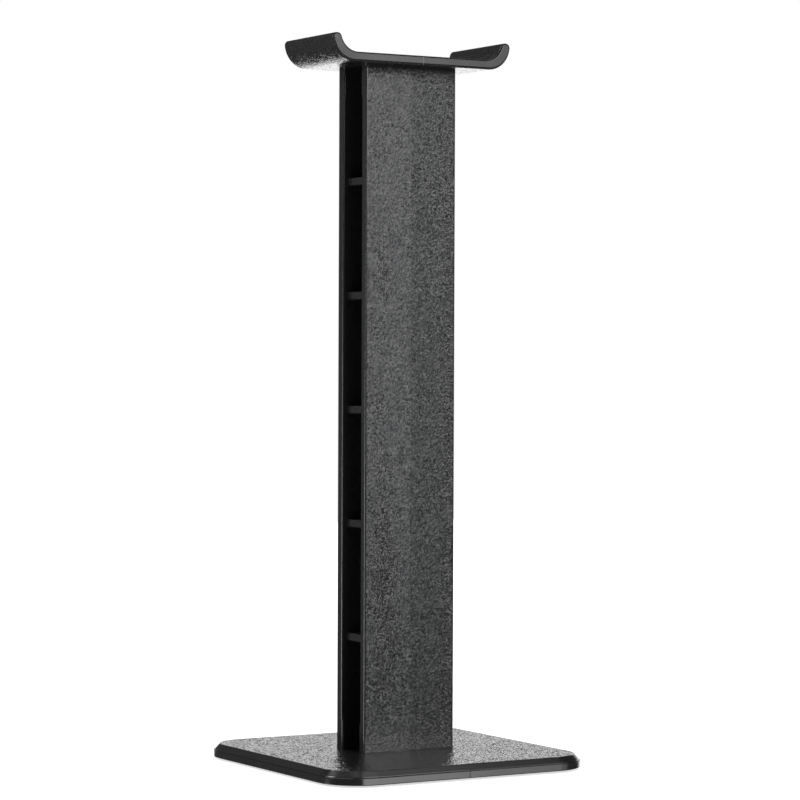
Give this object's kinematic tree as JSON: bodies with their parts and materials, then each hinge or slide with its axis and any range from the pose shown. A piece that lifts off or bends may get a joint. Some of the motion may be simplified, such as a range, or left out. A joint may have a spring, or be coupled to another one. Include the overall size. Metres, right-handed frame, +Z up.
{
  "type": "headphone stand",
  "caption": "Free-standing headphone stand: square weighted base, tall H-section column with cable bays down both sides, and a saddle with upturned ends.",
  "frame": {"origin": "on the floor under the middle of the base, at the underside of the feet", "axes": "+Z up along the column, the ridged front face of the column towards -Y, the saddle's two upturned ends at -X and +X"},
  "size_m": [0.107, 0.107, 0.2653],
  "materials": {
    "base_abs": "black ABS, fine leather-like grain on top, smooth glossy bevel and edge band",
    "cover_abs": "black ABS, fine matt grain",
    "column_abs": "black ABS, fine grain on the front and rear faces, smooth glossy edges and channels",
    "saddle_abs": "black ABS, fine grain with smooth satin edge faces",
    "ballast_steel": "plain rolled steel sheet",
    "foot_rubber": "matt black rubber",
    "screw_steel": "dark plated steel"
  },
  "bodies": {
    "root": {"base_shell": "base_abs", "base_cover": "cover_abs", "base_weight": "ballast_steel", "column": "column_abs", "saddle": "saddle_abs", "foot_front_left": "foot_rubber", "foot_front_right": "foot_rubber", "foot_rear_right": "foot_rubber", "foot_rear_left": "foot_rubber", "cover_screw_front": "screw_steel", "cover_screw_right": "screw_steel", "cover_screw_rear": "screw_steel", "cover_screw_left": "screw_steel", "column_screw_left": "screw_steel", "column_screw_right": "screw_steel", "saddle_screw_left": "screw_steel", "saddle_screw_right": "screw_steel"}
  },
  "joints": []
}
